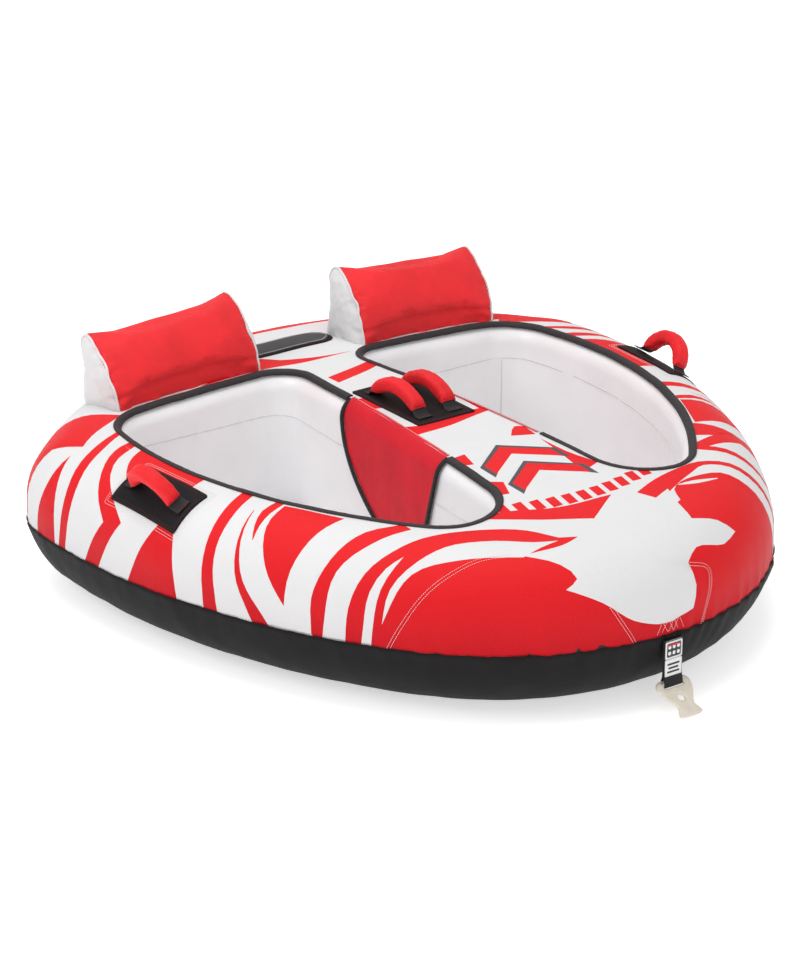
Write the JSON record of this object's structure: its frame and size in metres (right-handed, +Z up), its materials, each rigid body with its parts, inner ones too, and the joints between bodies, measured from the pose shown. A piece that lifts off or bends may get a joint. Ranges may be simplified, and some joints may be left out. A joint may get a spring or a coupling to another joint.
{
  "type": "towable tube",
  "caption": "Egg-shaped inflatable ring towed behind a boat, with two D-shaped riding wells, raised backrests, padded grab handles and a tow strap with a plastic quick connector.",
  "frame": {"origin": "on the ground under the middle of the whole object", "axes": "+Z up, bow and tow strap towards -Y, backrests towards +Y, +X to the right-hand side seen from the stern"},
  "size_m": [1.6282, 1.7952, 0.5599],
  "materials": {
    "cover_print": "printed woven nylon, red with white swooshes, satin",
    "skirt_black": "black woven nylon, satin",
    "bladder_white": "smooth welded white PVC film",
    "binding_grey": "dark grey folded nylon tape",
    "webbing_black": "ribbed black webbing",
    "flap_red": "red woven nylon with black bound edges",
    "rest_red": "red woven nylon, puckered at its seams",
    "rest_white": "pale woven nylon",
    "piping_white": "white sewn cord",
    "valve_white": "moulded plastic, matt",
    "valve_black": "moulded plastic, matt",
    "grip_red": "padded sewn sleeve, woven nylon",
    "patch_black": "black woven nylon with white topstitching",
    "label_white": "smooth printed label cloth, blank",
    "connector_ivory": "moulded glass-filled nylon, ivory",
    "flap_grey": "dark grey woven nylon with a white stitched edge",
    "zip_black": "woven zipper tape",
    "teeth_black": "moulded zipper teeth",
    "slider_metal": "black painted die casting"
  },
  "bodies": {
    "tube": {"backrest_bladder_left": "bladder_white", "backrest_bladder_right": "bladder_white", "backrest_gusset_inner_left": "rest_white", "backrest_gusset_inner_right": "rest_white", "backrest_gusset_outer_left": "rest_white", "backrest_gusset_outer_right": "rest_white", "backrest_piping_left": "piping_white", "backrest_piping_right": "piping_white", "backrest_valve_base_left": "valve_white", "backrest_valve_base_right": "valve_white", "backrest_wrap_left": "rest_red", "backrest_wrap_right": "rest_red", "base_panel": "skirt_black", "base_skirt": "skirt_black", "divider_flap_left": "flap_red", "divider_flap_right": "flap_red", "floor_pad_left": "bladder_white", "floor_pad_right": "bladder_white", "handle_anchor_centre_left": "webbing_black", "handle_anchor_centre_right": "webbing_black", "handle_anchor_left": "webbing_black", "handle_anchor_right": "webbing_black", "handle_patch_centre": "patch_black", "handle_patch_left": "patch_black", "handle_patch_right": "patch_black", "main_bladder": "bladder_white", "opening_binding_left": "binding_grey", "opening_binding_right": "binding_grey", "top_cover": "cover_print", "tow_harness": "webbing_black", "tow_tab": "patch_black", "valve_base": "valve_white", "valve_patch": "patch_black", "zipper_tape": "zip_black", "zipper_teeth": "teeth_black"},
    "tow_strap": {"tow_strap": "webbing_black", "strap_label_upper": "label_white", "strap_label_lower": "label_white"},
    "tow_connector": {"tow_connector": "connector_ivory"},
    "valve_flap": {"valve_flap": "flap_grey"},
    "valve_cap": {"valve_cap": "valve_black"},
    "zipper_slider": {"zipper_slider": "slider_metal"},
    "zipper_pull": {"zipper_pull": "slider_metal"},
    "handle_left": {"handle_grip_left": "grip_red", "handle_webbing_left": "webbing_black"},
    "handle_right": {"handle_grip_right": "grip_red", "handle_webbing_right": "webbing_black"},
    "handle_centre_left": {"handle_grip_centre_left": "grip_red", "handle_webbing_centre_left": "webbing_black"},
    "handle_centre_right": {"handle_grip_centre_right": "grip_red", "handle_webbing_centre_right": "webbing_black"},
    "backrest_valve_cap_left": {"backrest_valve_cap_left": "valve_white"},
    "backrest_valve_cap_right": {"backrest_valve_cap_right": "valve_white"}
  },
  "joints": [
    {"name": "tow_strap_swing", "type": "hinge", "parent": "tube", "child": "tow_strap", "pos_m": [0, -0.8151, 0.161], "axis": [-1, 0, 0], "range_deg": [0, 110]},
    {"name": "tow_connector_swing", "type": "hinge", "parent": "tow_strap", "child": "tow_connector", "pos_m": [0, -0.8151, 0.057], "axis": [-1, 0, 0], "range_deg": [-80, 60]},
    {"name": "handle_right_flop", "type": "hinge", "parent": "tube", "child": "handle_right", "pos_m": [0.7179, 0.0854, 0.3642], "axis": [0.0912, 0.9951, 0.0379], "range_deg": [-30, 30]},
    {"name": "handle_left_flop", "type": "hinge", "parent": "tube", "child": "handle_left", "pos_m": [-0.7179, 0.0854, 0.3642], "axis": [-0.0912, 0.9951, 0.0379], "range_deg": [-30, 30]},
    {"name": "handle_centre_right_flop", "type": "hinge", "parent": "tube", "child": "handle_centre_right", "pos_m": [0.042, 0.118, 0.4138], "axis": [0, 1, -0.0032], "range_deg": [-15, 28]},
    {"name": "handle_centre_left_flop", "type": "hinge", "parent": "tube", "child": "handle_centre_left", "pos_m": [-0.042, 0.118, 0.4138], "axis": [0, 1, -0.0032], "range_deg": [-28, 15]},
    {"name": "valve_flap_lift", "type": "hinge", "parent": "tube", "child": "valve_flap", "pos_m": [0, 0.683, 0.3869], "axis": [-1, 0, 0], "range_deg": [0, 110]},
    {"name": "valve_cap_turn", "type": "hinge", "parent": "tube", "child": "valve_cap", "pos_m": [0, 0.64, 0.375], "axis": [0, 0, 1], "range_deg": [0, 360]},
    {"name": "backrest_valve_left_pull", "type": "slide", "parent": "tube", "child": "backrest_valve_cap_left", "axis": [0, 1, 0], "range_m": [0, 0.016]},
    {"name": "backrest_valve_right_pull", "type": "slide", "parent": "tube", "child": "backrest_valve_cap_right", "axis": [0, 1, 0], "range_m": [0, 0.016]},
    {"name": "zipper_slide", "type": "hinge", "parent": "tube", "child": "zipper_slider", "pos_m": [0, -0.116, 0.2], "axis": [0, 0, 1], "range_deg": [-29, 0]},
    {"name": "zipper_pull_swing", "type": "hinge", "parent": "zipper_slider", "child": "zipper_pull", "pos_m": [-0.2578, 0.8808, 0.2005], "axis": [0.9681, 0.2504, 0], "range_deg": [0, 80]}
  ]
}
